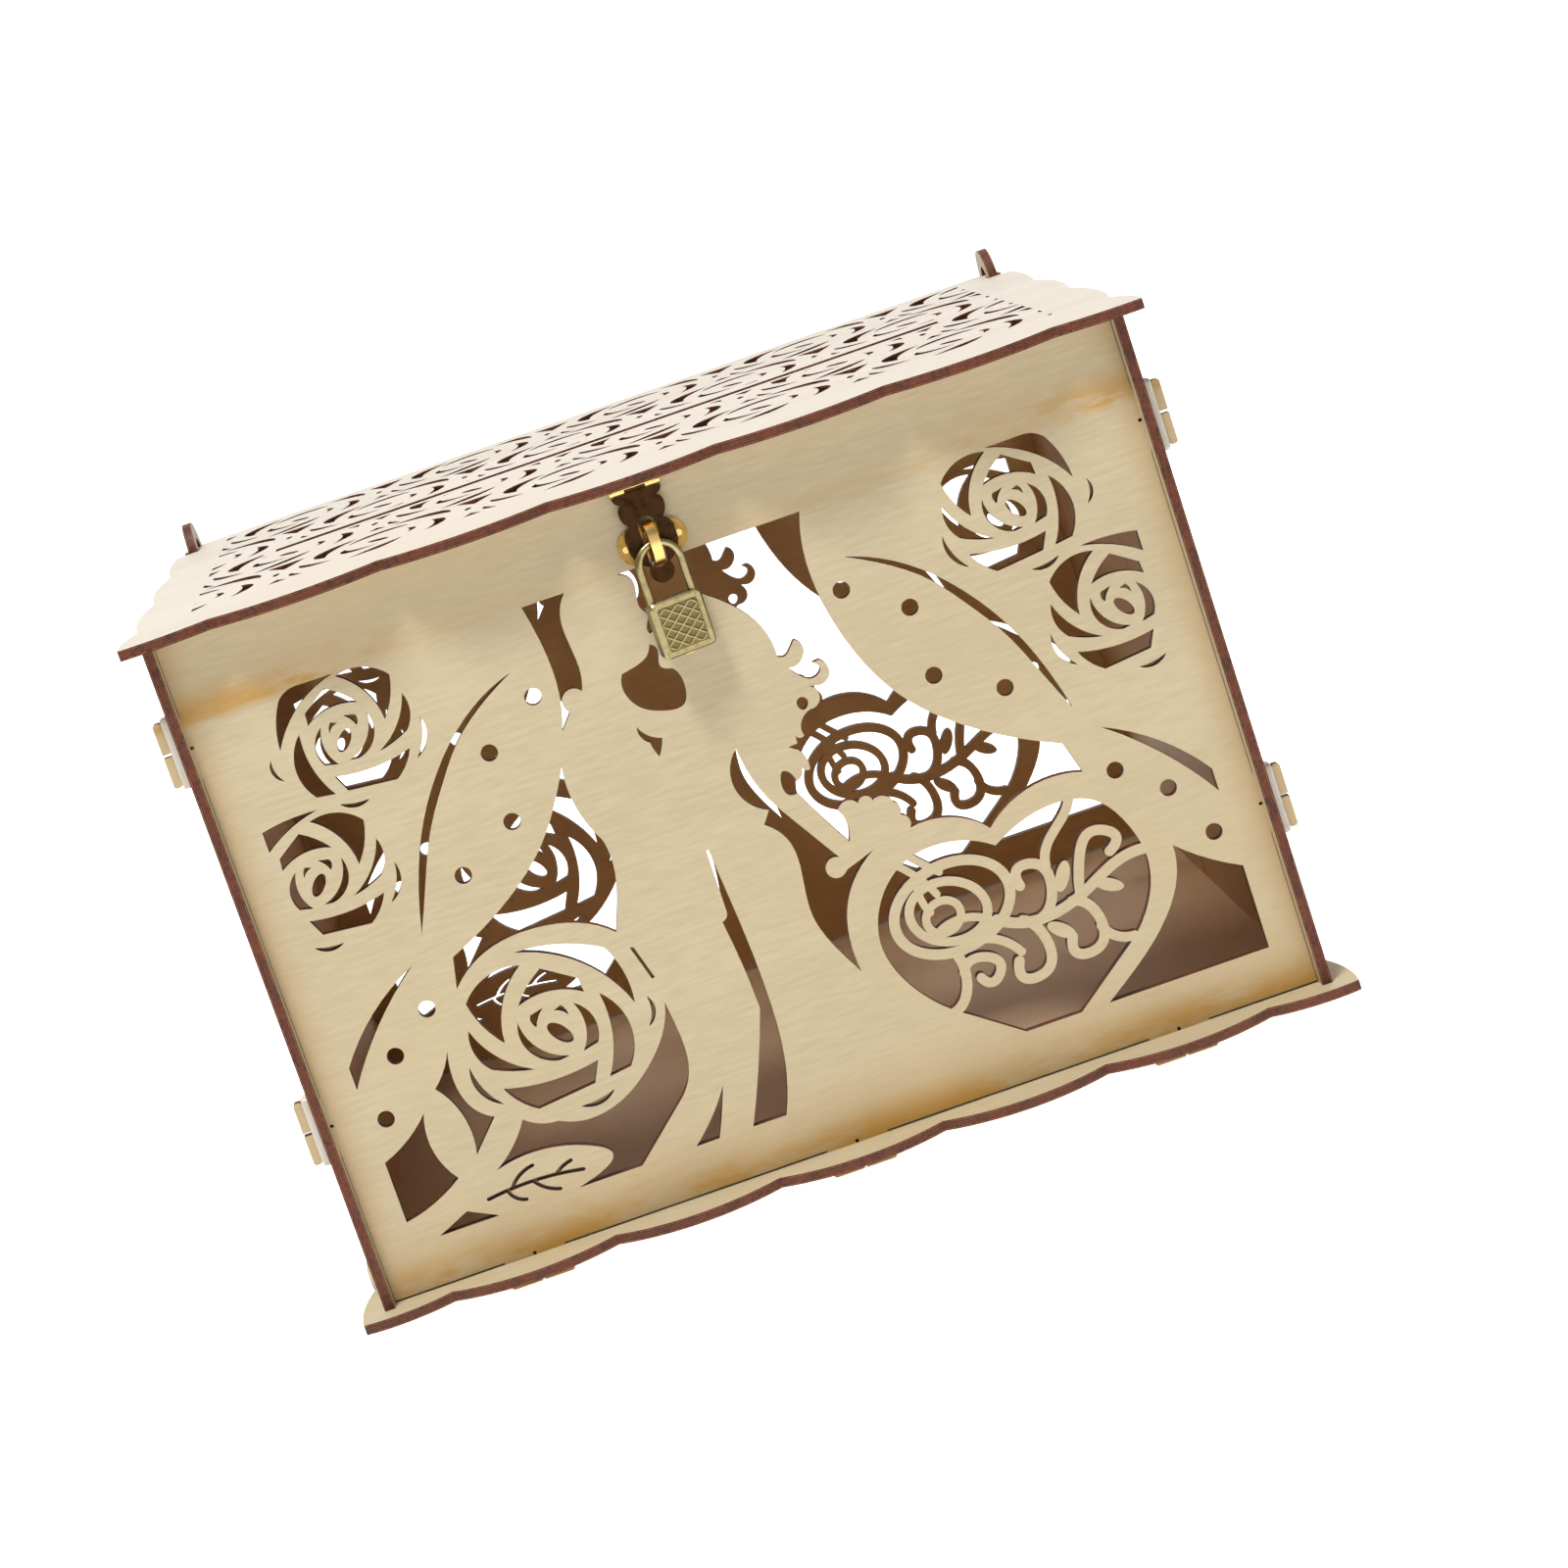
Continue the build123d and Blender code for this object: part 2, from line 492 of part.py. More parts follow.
# ---- lid --------------------------------------------------------------------
LID_ROSE = [
    window((-10.2, 3.2), [(-7.9, -3.6), (0.2, -8.2)], [(-9.8, -6.4), (-10.2, 3.2)]),
    window((8.6, 4.6), [(11.6, 0), (8.8, -5.4)], [(9.6, 0), (8.6, 4.6)]),
    window((-9.4, 11.4), [(0, 19.4), (9.6, 12.8)], [(0, 15.2), (-9.4, 11.4)]),
    window((3.8, 25.4), [(17.4, 21.6), (22.2, 7.8)], [(14.6, 17.4), (3.8, 25.4)]),
    window((16.2, 4.4), [(20.8, -5.4), (14.2, -16.2)], [(17.2, -5.4), (16.2, 4.4)]),
    window((-6.6, 21.4), [(-18.6, 15.6), (-16.2, 0.8)], [(-13.2, 13.6), (-6.6, 21.4)]),
    window((-24.2, 2.4), [(-22, -6.4), (-13.8, -10.2)], [(-19.4, -4.4), (-24.2, 2.4)]),
    window((-26.4, -8.6), [(-26.4, -14.4), (-22.6, -18.4)], [(-24.6, -13.6), (-26.4, -8.6)]),
    window((-10.4, -22.2), [(0.6, -20.8), (7.4, -12.6)], [(-2.4, -16.4), (-10.4, -22.2)]),
    window((27.4, 2.4), [(28.6, -0.4), (27.2, -3.2)], [(26.4, -0.4), (27.4, 2.4)]),
    window((-35, 20.2), (-23, 19.4), (-29, 7)),
    window((-30.4, -13.6), (-33, -18.8), (-27.2, -18.8)),
]
ROSE_STEP, ROSE_ROW = 58.7, 47.0
TONGUE_IN, TONGUE_OUT = SIDE_IN - 0.5, SIDE_OUT + 2.0
notch_front = HINGE_Y - EAR_RADIUS - 0.6
lid_half = LID_WIDTH / 2
lid_cusp = (lid_half - 2.6, -91.0)
LID_PITCH = 61.0
with BuildSketch() as lattice:
    with Locations((-0.2, 5)):
        Rectangle(259.5, 184)
    with Locations((0, SLOT_Y + 1.5)):
        Rectangle(SLOT_LENGTH + 7.5, SLOT_WIDTH + 12.5, mode=Mode.SUBTRACT)
with BuildSketch() as roses:
    for row, y in enumerate((-66, -19, 28, 75)):
        first = -132.7 if row % 2 == 0 else -103.3
        for column in range(6):
            with Locations((first + column * ROSE_STEP, y)):
                Ellipse(4.5, 1.8, rotation=-50)
                add(LID_ROSE)
    add(lattice.sketch, mode=Mode.INTERSECT)
with BuildPart() as lid:
    with BuildSketch(Plane.XY.offset(LID_BOTTOM)):
        with BuildLine():
            front_cusp = LID_FRONT + CUSP_DEPTH
            end = scallops((-cusp_x, front_cusp), 5, (SCALLOP_PITCH, 0), (0, -CUSP_DEPTH))
            corner = (lid_half + 0.8, LID_FRONT + 2.6)
            half_scallop(end, corner, (1.0, -2.0))
            half_scallop(corner, lid_cusp, (1.6, 0.6))
            end = scallops(lid_cusp, 2, (0, LID_PITCH), (2.6, 0))
            half_scallop(end, (lid_half - 0.4, notch_front), (1.2, 0))
            Polyline(
                (lid_half - 0.4, notch_front),
                (TONGUE_IN, notch_front),
                (TONGUE_IN, HINGE_Y - TONGUE / 2),
                (TONGUE_OUT, HINGE_Y - TONGUE / 2),
                (TONGUE_OUT, HINGE_Y + TONGUE / 2),
                (TONGUE_IN, HINGE_Y + TONGUE / 2),
                (TONGUE_IN, LID_REAR),
                (-TONGUE_IN, LID_REAR),
                (-TONGUE_IN, HINGE_Y + TONGUE / 2),
                (-TONGUE_OUT, HINGE_Y + TONGUE / 2),
                (-TONGUE_OUT, HINGE_Y - TONGUE / 2),
                (-TONGUE_IN, HINGE_Y - TONGUE / 2),
                (-TONGUE_IN, notch_front),
                (-lid_half + 0.4, notch_front),
            )
            half_scallop((-lid_half + 0.4, notch_front), (-lid_cusp[0], end[1]), (-1.2, 0))
            end = scallops((-lid_cusp[0], end[1]), 2, (0, -LID_PITCH), (-2.6, 0))
            half_scallop(end, (-corner[0], corner[1]), (-1.6, 0.6))
            half_scallop((-corner[0], corner[1]), (-cusp_x, front_cusp), (-1.0, -2.0))
        make_face()
        add(roses.sketch, mode=Mode.SUBTRACT)
        with Locations((0, SLOT_Y)):
            Rectangle(SLOT_LENGTH, SLOT_WIDTH, mode=Mode.SUBTRACT)
    extrude(amount=PLY)
    with Locations(*[(x, y, LID_BOTTOM + 0.6) for x, y in LEAF_NAILS]):
        Cylinder(NAIL_RADIUS + NAIL_FIT, 1.4, mode=Mode.SUBTRACT)
save(lid.part, "lid_panel")

# ---- hasp: leaf under the lid's front, strap hanging over the staple ----------
HASP_Y = FRONT_FACE - 2.6
HASP_Z = LID_BOTTOM - KNUCKLE_RADIUS - 0.05
LEAF_TOP = LID_BOTTOM
LEAF_FRONT = -121.2


with BuildPart() as leaf:
    with BuildSketch(Plane.XY.offset(LEAF_TOP - 0.5)):
        with BuildLine():
            Line((-7.3, HASP_Y), (7.3, HASP_Y))
            Line((7.3, HASP_Y), (7.3, -117.6))
            ThreePointArc((7.3, -117.6), (5.2, -120.2), (2.6, -120.2))
            ThreePointArc((2.6, -120.2), (0.9, -120.6), (0, LEAF_FRONT))
            ThreePointArc((0, LEAF_FRONT), (-0.9, -120.6), (-2.6, -120.2))
            ThreePointArc((-2.6, -120.2), (-5.2, -120.2), (-7.3, -117.6))
            Line((-7.3, -117.6), (-7.3, HASP_Y))
        make_face()
    extrude(amount=0.5)
    with Locations((-5.2, HASP_Y, HASP_Z), (5.2, HASP_Y, HASP_Z)):
        Cylinder(KNUCKLE_RADIUS, 4.2, rotation=(0, 90, 0))
    with Locations((0, HASP_Y, LEAF_TOP - 0.5)):  # room for the strap's own knuckle
        Box(6.2, 2 * KNUCKLE_RADIUS + 0.4, 3.2, mode=Mode.SUBTRACT)
    with Locations((0, HASP_Y, HASP_Z)):
        Cylinder(PIN_RADIUS + 0.05, 16, rotation=(0, 90, 0), mode=Mode.SUBTRACT)
    with Locations(*[(x, y, LEAF_TOP) for x, y in LEAF_NAILS]):
        Cylinder(NAIL_RADIUS + NAIL_FIT, 3, mode=Mode.SUBTRACT)
save(leaf.part, "hasp_lid_leaf")

with BuildPart() as pin:
    with BuildSketch(Plane(origin=(-7.3, HASP_Y, HASP_Z), x_dir=(0, 1, 0), z_dir=(1, 0, 0))):
        Circle(PIN_RADIUS)
    extrude(amount=14.6)
save(pin.part, "hasp_pin")

STRAP_BACK = HASP_Y + KNUCKLE_RADIUS - 0.1
STRAP_FRONT = STRAP_BACK - SHEET
staple_z = FOOT + 186.8
with BuildPart() as strap:
    with BuildSketch(Plane(origin=(0, STRAP_FRONT, FOOT), x_dir=(1, 0, 0), z_dir=(0, -1, 0))):
        with BuildLine():
            top = HASP_Z - FOOT
            edge = [(7.1, 201.6), (5.2, 199.2), (6.6, 196.0), (4.9, 192.6), (7.1, 187.9), (2.9, 180.2)]
            bulges = [(6.75, 200.15), (6.45, 197.75), (6.1, 194.1), (6.9, 190.4), (6.2, 183.2)]
            Line((-3.0, top), (3.0, top))
            for side in (1, -1):
                Line((side * 3.0, top), (side * 3.0, 201.9))
                Line((side * 3.0, 201.9), (side * edge[0][0], edge[0][1]))
                for start, through, stop in zip(edge, bulges, edge[1:]):
                    ThreePointArc(*[(side * x, z) for x, z in (start, through, stop)])
            ThreePointArc(edge[-1], (0, 174.8), (-edge[-1][0], edge[-1][1]))
        make_face()
        with Locations((0, 186.8)):
            SlotOverall(14.8, 5.2, rotation=90, mode=Mode.SUBTRACT)
    extrude(amount=-SHEET)
    with Locations((0, HASP_Y, HASP_Z)):
        Cylinder(KNUCKLE_RADIUS, 6.0, rotation=(0, 90, 0))
        Cylinder(PIN_RADIUS + 0.05, 16, rotation=(0, 90, 0), mode=Mode.SUBTRACT)
save(strap.part, "hasp_strap")

with BuildPart() as leaf_nails:
    with Locations(*[(x, y, LID_BOTTOM + 0.25) for x, y in LEAF_NAILS]):
        Cylinder(NAIL_RADIUS, 1.9)
    with Locations(*[(x, y, LEAF_TOP - 0.61) for x, y in LEAF_NAILS]):
        Cylinder(0.9, 0.2)
save(leaf_nails.part, "leaf_nails")

# ---- staple on its plate, nailed to the front panel ----------------------------
STAPLE_REACH = 8.2
with BuildPart() as staple:
    with BuildSketch(Plane(origin=(-STAPLE_WIDTH / 2, FRONT_FACE, FOOT + STAPLE_HEIGHT), x_dir=(0, 1, 0), z_dir=(1, 0, 0))):
        with BuildLine():
            Polyline((0.8, 6.4), (-4.2, 6.4))
            Spline((-4.2, 6.4), (-7.0, 4.4), (-STAPLE_REACH, 0), (-7.0, -4.4), (-4.2, -6.4))
            Polyline((-4.2, -6.4), (0.8, -6.4), (0.8, 6.4))
        make_face()
        with Locations((-4.6, 1.4)):
            SlotOverall(6.3, 3.9, rotation=90, mode=Mode.SUBTRACT)
    extrude(amount=STAPLE_WIDTH)
turned_staple = Pos(0, FRONT_FACE - 4.1, 0) * Rot(0, 0, STAPLE_TURN) * Pos(0, 4.1 - FRONT_FACE, 0) * staple.part
with BuildPart() as staple_cut:
    add(turned_staple)
    with Locations((0, FRONT_FACE - 20, FOOT + STAPLE_HEIGHT)):  # flat against the panel
        Box(20, 40, 20, mode=Mode.INTERSECT)
    with Locations((0, FRONT_FACE, FOOT + STAPLE_HEIGHT)):  # notched over the plate's waist
        Box(20, 2 * SHEET + 0.06, 9.8, mode=Mode.SUBTRACT)
save(staple_cut.part, "staple")

with BuildPart() as plate:
    with BuildSketch(Plane(origin=(0, FRONT_FACE, FOOT + STAPLE_HEIGHT), x_dir=(1, 0, 0), z_dir=(0, -1, 0))):
        with Locations((-4.65, 0), (4.65, 0)):
            Circle(5.35)
        with Locations(*[(x, 0) for x in PLATE_NAILS]):
            Circle(NAIL_RADIUS + NAIL_FIT, mode=Mode.SUBTRACT)
    extrude(amount=SHEET)
save(plate.part, "staple_plate")

with BuildPart() as plate_nails:
    with Locations(*[(x, FRONT_FACE + 0.65, FOOT + STAPLE_HEIGHT) for x in PLATE_NAILS]):
        Cylinder(NAIL_RADIUS, 2.7, rotation=(90, 0, 0))
    with Locations(*[(x, FRONT_FACE - SHEET - 0.13, FOOT + STAPLE_HEIGHT) for x in PLATE_NAILS]):
        Cylinder(0.95, 0.24, rotation=(90, 0, 0))
save(plate_nails.part, "plate_nails")

# ---- padlock -------------------------------------------------------------------
# drawn square to the box about the middle of the case's underside, then hung
LONG_TIP, SHORT_TIP = 3.5, 11.6  # shackle ends, above the case's underside
CROWN = 31.9 - SHACKLE_HALF
LEG_BORE = WIRE_RADIUS + 0.1
PLUG_RADIUS = 1.9
lock_place = Pos(0, FRONT_FACE - 4.7, FOOT + 154.7) * Rot(0, 0, PADLOCK_TURN)

with BuildPart() as shackle:
    with BuildLine() as wire:
        Line((SHACKLE_HALF, 0, LONG_TIP), (SHACKLE_HALF, 0, CROWN))
        ThreePointArc((SHACKLE_HALF, 0, CROWN), (0, 0, CROWN + SHACKLE_HALF), (-SHACKLE_HALF, 0, CROWN))
        Line((-SHACKLE_HALF, 0, CROWN), (-SHACKLE_HALF, 0, SHORT_TIP))
    with BuildSketch(Plane.XY.offset(LONG_TIP)):
        with Locations((SHACKLE_HALF, 0)):
            Circle(WIRE_RADIUS)
    sweep()
save(lock_place * shackle.part, "shackle")

for name, sign in (("padlock_front_shell", -1), ("padlock_back_shell", 1)):
    with BuildPart() as shell:
        with BuildSketch(Plane(origin=(0, 0, CASE_HEIGHT / 2), x_dir=(1, 0, 0), z_dir=(0, sign, 0))):
            RectangleRounded(CASE_WIDTH, CASE_HEIGHT, 1.6)
        extrude(amount=CASE_THICK / 2)
        chamfer(shell.faces().sort_by(Axis.Y)[0 if sign < 0 else -1].edges(), 0.5)
        with BuildSketch(Plane(origin=(0, sign * CASE_THICK / 2, CASE_HEIGHT / 2), x_dir=(1, 0, 0), z_dir=(0, sign, 0))):
            RectangleRounded(CASE_WIDTH - 3.6, CASE_HEIGHT - 3.6, 0.8)
        extrude(amount=-0.2, mode=Mode.SUBTRACT)  # sunk panel inside the border
        with Locations((SHACKLE_HALF, 0, LONG_TIP - 0.9)):
            Cylinder(LEG_BORE, 20, align=(Align.CENTER, Align.CENTER, Align.MIN), mode=Mode.SUBTRACT)
        with Locations((-SHACKLE_HALF, 0, SHORT_TIP - 0.9)):
            Cylinder(LEG_BORE, 20, align=(Align.CENTER, Align.CENTER, Align.MIN), mode=Mode.SUBTRACT)
        with Locations((0, 0, 3.0)):
            Cylinder(PLUG_RADIUS + 0.05, 8, mode=Mode.SUBTRACT)
        with Locations((-1.2, 0, 12.6)):
            Box(8.0, 1.7, 2.2, mode=Mode.SUBTRACT)
        with Locations((-6.3, 0, 1.3), (6.3, 0, 1.3)):
            Cylinder(0.52, 8, rotation=(90, 0, 0), mode=Mode.SUBTRACT)
        with Locations((-6.3, sign * 2.75, 14.7), (6.3, sign * 2.75, 14.7)):
            Cylinder(0.52, 2.0, rotation=(90, 0, 0), mode=Mode.SUBTRACT)
    save(lock_place * shell.part, name)

with BuildPart() as rivets:
    with Locations((-6.3, 0, 1.3), (6.3, 0, 1.3)):
        Cylinder(0.5, CASE_THICK + 0.5, rotation=(90, 0, 0))
    for sign in (-1, 1):
        with Locations((-6.3, sign * 2.45, 14.7), (6.3, sign * 2.45, 14.7)):
            Cylinder(0.5, 1.1, rotation=(90, 0, 0))
save(lock_place * rivets.part, "padlock_rivets")

with BuildPart() as plug:
    with Locations((0, 0, 3.3)):
        Cylinder(PLUG_RADIUS, 7.2)
    with Locations((0, 0, 0.5)):
        Box(0.7, 2.6, 3.6, mode=Mode.SUBTRACT)  # keyway
save(lock_place * plug.part, "key_plug")

with BuildPart() as bolt:
    with Locations((-3.3, 0, 12.6)):
        Box(3.0, 1.5, 2.0)
    chamfer(bolt.faces().sort_by(Axis.X)[0].edges().sort_by(Axis.Z)[-1], 0.9)
save(lock_place * bolt.part, "latch_bolt")

with BuildPart() as spring:
    with BuildSketch(Plane(origin=(0, 0.7, 0), x_dir=(1, 0, 0), z_dir=(0, -1, 0))):
        with BuildLine():
            Spline((-1.65, 12.0), (-0.2, 13.3), (0.9, 12.1), (2.0, 13.2), (2.65, 12.6))
        trace(line_width=0.18)
    extrude(amount=1.4)
save(lock_place * spring.part, "latch_spring")
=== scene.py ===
"""The looks of a laser-cut plywood wedding card box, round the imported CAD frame.

Grain and scorching on the panels, burnt plywood edges, rubber bands, gilt and bronze fittings and a hatched padlock.

Metres, +Z up, front towards -Y.
"""

import math

import bpy
import numpy as np
from bpy.props import FloatProperty, FloatVectorProperty, IntProperty, PointerProperty
from mathutils import Matrix, Vector


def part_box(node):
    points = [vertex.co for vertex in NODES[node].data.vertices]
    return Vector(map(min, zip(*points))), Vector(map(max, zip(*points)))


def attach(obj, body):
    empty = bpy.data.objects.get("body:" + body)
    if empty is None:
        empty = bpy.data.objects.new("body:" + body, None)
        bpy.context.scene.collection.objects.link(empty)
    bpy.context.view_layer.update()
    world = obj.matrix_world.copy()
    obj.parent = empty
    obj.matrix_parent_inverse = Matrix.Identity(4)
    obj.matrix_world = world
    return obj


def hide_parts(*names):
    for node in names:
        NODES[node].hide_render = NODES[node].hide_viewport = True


bl_info = {
    "name": "Wedding Card Box",
    "version": (1, 0, 0),
    "blender": (4, 5, 0),
    "location": "View3D > Sidebar > Card Box",
    "description": "Dresses the card box frame in plywood, rubber bands and metal fittings",
    "category": "Object",
}

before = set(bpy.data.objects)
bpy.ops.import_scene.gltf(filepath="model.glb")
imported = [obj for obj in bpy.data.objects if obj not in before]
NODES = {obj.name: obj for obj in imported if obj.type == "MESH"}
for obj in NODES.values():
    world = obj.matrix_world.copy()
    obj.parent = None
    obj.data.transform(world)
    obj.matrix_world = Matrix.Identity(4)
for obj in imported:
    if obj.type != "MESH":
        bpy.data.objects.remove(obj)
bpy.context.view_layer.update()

BAND_NODES = sorted(name for name in NODES if name.startswith("band_"))
GILT_NODES = ("hasp_lid_leaf", "hasp_pin", "leaf_nails", "plate_nails", "staple")
BRONZE_NODES = ("hasp_strap",)
LOCK_NODES = ("padlock_front_shell", "padlock_back_shell", "shackle")
STEEL_NODES = ("latch_bolt", "latch_spring")
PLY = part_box("base_panel")[1][2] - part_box("base_panel")[0][2]  # sheet thickness
BASE_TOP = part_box("base_panel")[1][2]
WALL_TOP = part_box("front_panel")[1][2]
INSIDE_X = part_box("right_side_panel")[0][0]  # half the width between the side panels
INSIDE_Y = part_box("back_panel")[0][1]  # half the depth between front and back panels
WINDOW_TOP = BASE_TOP + 0.178  # the straight upper edge of the picture

# The padlock's case, which the hatching lies in
LOCK_TURN = math.radians(12.0)  # it hangs turned about the vertical
LOCK_HALF_WIDTH = 0.0078
LOCK_HALF_THICK = 0.00275
LOCK_BORDER = 0.00182  # plain metal round the hatching
LOCK_SINK = 0.0002  # depth of the panel that holds the hatching
HATCH_SLOPE = math.radians(52)  # lean of the crossed ribs
HATCH_MARGIN = 0.0005  # ribs fade out over this much at the rim


def srgb(red, green, blue):
    """Linear colour from 0-255 screen values: each value over 255, raised to 2.2."""
    return tuple((value / 255.0) ** 2.2 for value in (red, green, blue))


def colour(title, text, value):
    """A colour property."""
    return FloatVectorProperty(name=title, description=text, subtype="COLOR", size=3, min=0, max=1, default=value)


def length(title, text, value):
    """A length property in metres."""
    return FloatProperty(name=title, description=text, default=value, min=0, unit="LENGTH", precision=5)


# ---- settings --------------------------------------------------------------


class CARDBOX_PG_wood(bpy.types.PropertyGroup):
    """Colours and grain of the plywood"""

    panel_colour: colour("Panel", "Outer faces of the walls and base", srgb(169, 155, 127))
    lid_colour: colour("Lid", "Upper face of the lid", srgb(180, 171, 160))
    # painted shade: the next three colours are warm brown tones that stand in for the shade and bounce light inside the
    # box; these faces are the same pale plywood as the outer ones
    inside_shade_colour: colour("Inside", "Faces turned to the inside of the box", srgb(190, 146, 94))
    floor_colour: colour("Inside floor", "Upper face of the base inside the box", srgb(212, 176, 136))
    under_lid_shade_colour: colour("Under the lid", "Lower face of the lid", srgb(186, 158, 122))
    scorch_colour: colour("Scorch", "Heat stain along the cut lines", srgb(158, 116, 40))
    burn_colour: colour("Burnt edge", "Laser-cut edge of the sheet", srgb(74, 33, 15))
    ply_colour: colour("Veneer line", "Outer veneers seen on the cut edge", srgb(126, 68, 30))
    streak_width: length("Grain streak", "Width of the broad streaks in the veneer", 0.009)
    fleck_width: length("Grain fleck", "Width of the fine flecks in the veneer", 0.0006)


class CARDBOX_PG_bands(bpy.types.PropertyGroup):
    """Shape and colour of the rubber bands"""

    band_colour: colour("Band", "Milky rubber", srgb(178, 172, 162))
    wall: length("Wall", "Thickness of the rubber round the neck", 0.0014)
    flatness: FloatProperty(
        name="Flatness",
        description="0 is a round section, 1 a square one",
        default=0.5,
        min=0.1,
        max=1,
        subtype="FACTOR",
    )
    corner_steps: IntProperty(
        name="Corner steps",
        description="Points round each corner of the loop",
        default=10,
        min=3,
        max=40,
    )
    section_steps: IntProperty(name="Section steps", description="Points round the rubber's section", default=20, min=6, max=60)


class CARDBOX_PG_metal(bpy.types.PropertyGroup):
    """Colours of the fittings and the padlock's hatching"""

    gilt_colour: colour("Gilt", "Staple, leaf, pin and nails", srgb(216, 180, 112))
    bronze_colour: colour("Bronze", "Strap over the staple", srgb(62, 44, 29))
    plate_colour: colour("Staple plate", "Plate under the staple", srgb(150, 118, 62))
    lock_colour: colour("Padlock", "Antique silver-gold", srgb(154, 141, 102))
    groove_colour: colour("Grooves", "Grime between the padlock's ribs", srgb(112, 99, 64))
    steel_colour: colour("Steel", "Hidden latch parts", srgb(170, 170, 172))
    hatch_pitch: length("Hatch pitch", "Distance between the padlock's crossed ribs", 0.0024)
    hatch_height: length("Hatch height", "How far the ribs stand up", 0.00016)
    hatch_steps: IntProperty(
        name="Hatch steps",
        description="Points along each side of the hatched plate",
        default=150,
        min=20,
        max=250,
    )


class CARDBOX_PG_stage(bpy.types.PropertyGroup):
    """Floor, lights and camera"""

    floor_colour: colour("Floor", "Pale sweep under and behind the box", srgb(250, 250, 250))
    floor_glow: FloatProperty(
        name="Floor glow",
        description="Light given off by the sweep, as on a light table",
        default=0.8,
        min=0,
    )
    camera_place: FloatVectorProperty(
        name="Camera",
        description="Where the camera stands",
        subtype="TRANSLATION",
        unit="LENGTH",
        size=3,
        default=(-0.0221, -1.0507, 0.3154),
    )
    lens: FloatProperty(name="Lens", description="Focal length on a 36 mm sensor", default=78.23, unit="CAMERA")
    pitch: FloatProperty(name="Pitch", description="How far the camera looks down", default=0.165, subtype="ANGLE")
    heading: FloatProperty(name="Heading", description="How far the camera looks to the right", default=0.011, subtype="ANGLE")
    roll: FloatProperty(
        name="Roll",
        description="How far the camera leans clockwise",
        default=math.radians(19.0),
        subtype="ANGLE",
    )
    shift: FloatVectorProperty(name="Shift", description="Lens shift right and up", size=2, default=(0.0855, -0.0762))
    key_power: FloatProperty(name="Key light", description="Power of the soft light in front", default=50.0, unit="POWER")
    world_strength: FloatProperty(name="Room light", description="Strength of the even white surroundings", default=0.32)


# ---- meshes ------------------------------------------------------------------


def grid_faces(rows, columns, closed_rows, closed_columns):
    """Quads of a grid whose point (i, j) is number i * columns + j; a closed direction joins its last points to its first."""
    i = np.arange(rows if closed_rows else rows - 1)[:, None]
    j = np.arange(columns if closed_columns else columns - 1)[None, :]
    i2, j2 = (i + 1) % rows, (j + 1) % columns
    return np.stack([i * columns + j, i2 * columns + j, i2 * columns + j2, i * columns + j2], axis=-1).reshape(-1, 4)


def new_object(name, points, faces, smooth=True):
    """A mesh object at the origin from an array of points and an array of faces."""
    mesh = bpy.data.meshes.new(name)
    mesh.from_pydata(points.reshape(-1, 3).tolist(), [], faces.tolist())
    mesh.polygons.foreach_set("use_smooth", np.full(len(mesh.polygons), smooth))
    mesh.update()
    obj = bpy.data.objects.new(name, mesh)
    bpy.context.scene.collection.objects.link(obj)
    return obj


def rounded(angle, power):
    """A flattened circle: the cosine and sine of the angle, each with its size raised to a power under one."""
    cosine, sine = np.cos(angle), np.sin(angle)
    return np.sign(cosine) * np.abs(cosine) ** power, np.sign(sine) * np.abs(sine) ** power


def band_surface(node, wall, flatness, corner_steps, section_steps):
    """A rubber loop in a band node's place.

    Its path is four quarter circles, one about each corner of the tab's neck. A point of the surface is the neck's corner,
    plus the path's outward direction times the distance that a flattened circle gives, plus the loop's axis times the same
    flattened circle's other value over half the band's width.
    """
    low, high = (np.array(corner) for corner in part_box(node))
    size, centre = high - low, (high + low) / 2
    across, thick, along = np.argsort(size)
    along_axis, thick_axis, across_axis = np.eye(3)[[along, thick, across]]
    if np.linalg.det(np.stack([along_axis, thick_axis, across_axis])) < 0:
        across_axis = -across_axis  # keeps the faces turned outwards
    half_along, half_thick = size[along] / 2 - wall, size[thick] / 2 - wall
    turn = (np.arange(4)[:, None] * math.pi / 2 + np.linspace(0, math.pi / 2, corner_steps)[None, :]).ravel()
    quarter = np.repeat(np.arange(4), corner_steps)
    corner_x = np.where((quarter == 0) | (quarter == 3), half_along, -half_along)
    corner_y = np.where(quarter < 2, half_thick, -half_thick)
    section = np.linspace(0, 2 * math.pi, section_steps, endpoint=False)
    reach, rise = rounded(section, 1 - 0.75 * flatness)
    out = wall / 2 * (1 + reach)[None, :] + 0.00002
    x = corner_x[:, None] + np.cos(turn)[:, None] * out
    y = corner_y[:, None] + np.sin(turn)[:, None] * out
    z = np.broadcast_to(size[across] / 2 * rise, x.shape)
    points = centre + x[..., None] * along_axis + y[..., None] * thick_axis + z[..., None] * across_axis
    return points, grid_faces(len(turn), section_steps, True, True)


